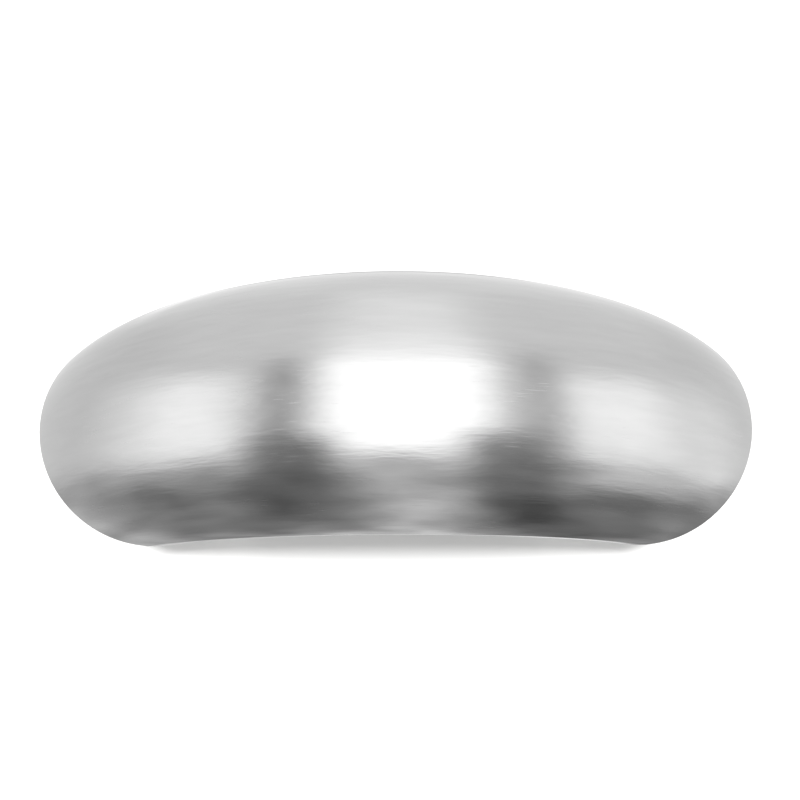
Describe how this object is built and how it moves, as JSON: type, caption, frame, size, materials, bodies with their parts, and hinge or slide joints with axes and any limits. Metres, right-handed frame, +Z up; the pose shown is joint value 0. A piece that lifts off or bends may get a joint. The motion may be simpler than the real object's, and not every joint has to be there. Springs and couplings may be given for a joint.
{
  "type": "tube elbow",
  "caption": "Right-angle long-radius elbow in thin satin stainless tube, pressed as two half shells and welded along both sides, with plain square-cut open ends",
  "frame": {"origin": "on the floor under the crown, midway between the two ends", "axes": "+X from end to end, +Y parallel to the axis of the bend, +Z up out of the back of the bend"},
  "size_m": [0.2924, 0.1018, 0.1338],
  "materials": {
    "back_sheet": "satin brushed along the bend",
    "throat_sheet": "satin brushed along the bend",
    "weld_metal": "dressed weld, lightly rippled"
  },
  "bodies": {
    "root": {"back_shell": "back_sheet", "throat_shell": "throat_sheet", "front_seam_weld": "weld_metal", "rear_seam_weld": "weld_metal"}
  },
  "joints": []
}
